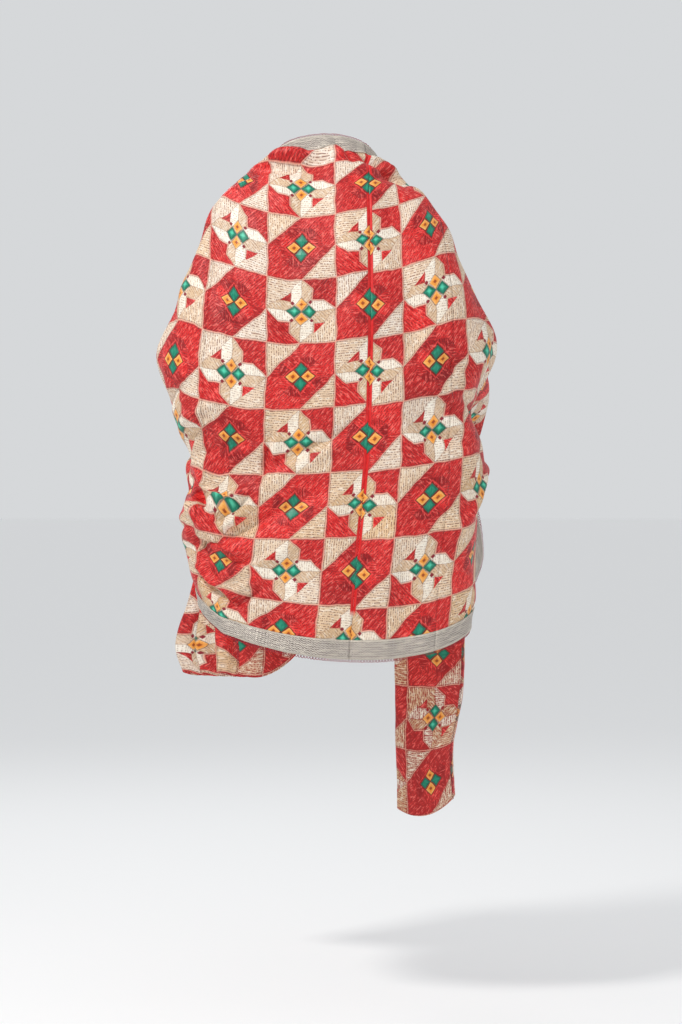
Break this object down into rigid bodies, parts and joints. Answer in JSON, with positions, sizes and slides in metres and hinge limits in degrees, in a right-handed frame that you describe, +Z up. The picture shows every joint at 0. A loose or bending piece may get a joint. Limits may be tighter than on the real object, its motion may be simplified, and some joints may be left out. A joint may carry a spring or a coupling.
{
  "type": "embroidered shawl",
  "caption": "Embroidered shawl draped round the shoulders and arms with nobody in it, open at the neck, front and hem, its gathered ends hanging in flat pleats.",
  "frame": {"origin": "the nape, at the middle of the neck edge, where the wearer's shoulders carry the shawl", "axes": "+Z up the wearer's back, +Y the way the wearer faces, +X the wearer's right"},
  "size_m": [0.5811, 0.4437, 1.2264],
  "materials": {
    "cloth": "red cotton covered with glossy darned floss embroidery",
    "ribbon": "woven silver-grey ribbon with a fine zigzag",
    "picots": "dark maroon looped thread edging"
  },
  "bodies": {
    "root": {"left_fall": "cloth", "left_front": "cloth", "left_arm": "cloth", "back_left": "cloth", "back_right": "cloth", "right_arm": "cloth", "right_front": "cloth", "right_fall": "cloth", "neck_ribbon_left_fall": "ribbon", "neck_ribbon_left_front": "ribbon", "neck_ribbon_left_arm": "ribbon", "neck_ribbon_back_left": "ribbon", "neck_ribbon_back_right": "ribbon", "neck_ribbon_right_arm": "ribbon", "neck_ribbon_right_front": "ribbon", "neck_ribbon_right_fall": "ribbon", "hem_ribbon_left_fall": "ribbon", "hem_ribbon_left_front": "ribbon", "hem_ribbon_left_arm": "ribbon", "hem_ribbon_back_left": "ribbon", "hem_ribbon_back_right": "ribbon", "hem_ribbon_right_arm": "ribbon", "hem_ribbon_right_front": "ribbon", "hem_ribbon_right_fall": "ribbon", "neck_picots_left_fall": "picots", "neck_picots_left_front": "picots", "neck_picots_left_arm": "picots", "neck_picots_back_left": "picots", "neck_picots_back_right": "picots", "neck_picots_right_arm": "picots", "neck_picots_right_front": "picots", "neck_picots_right_fall": "picots", "hem_picots_left_fall": "picots", "hem_picots_left_front": "picots", "hem_picots_left_arm": "picots", "hem_picots_back_left": "picots", "hem_picots_back_right": "picots", "hem_picots_right_arm": "picots", "hem_picots_right_front": "picots", "hem_picots_right_fall": "picots"}
  },
  "joints": []
}
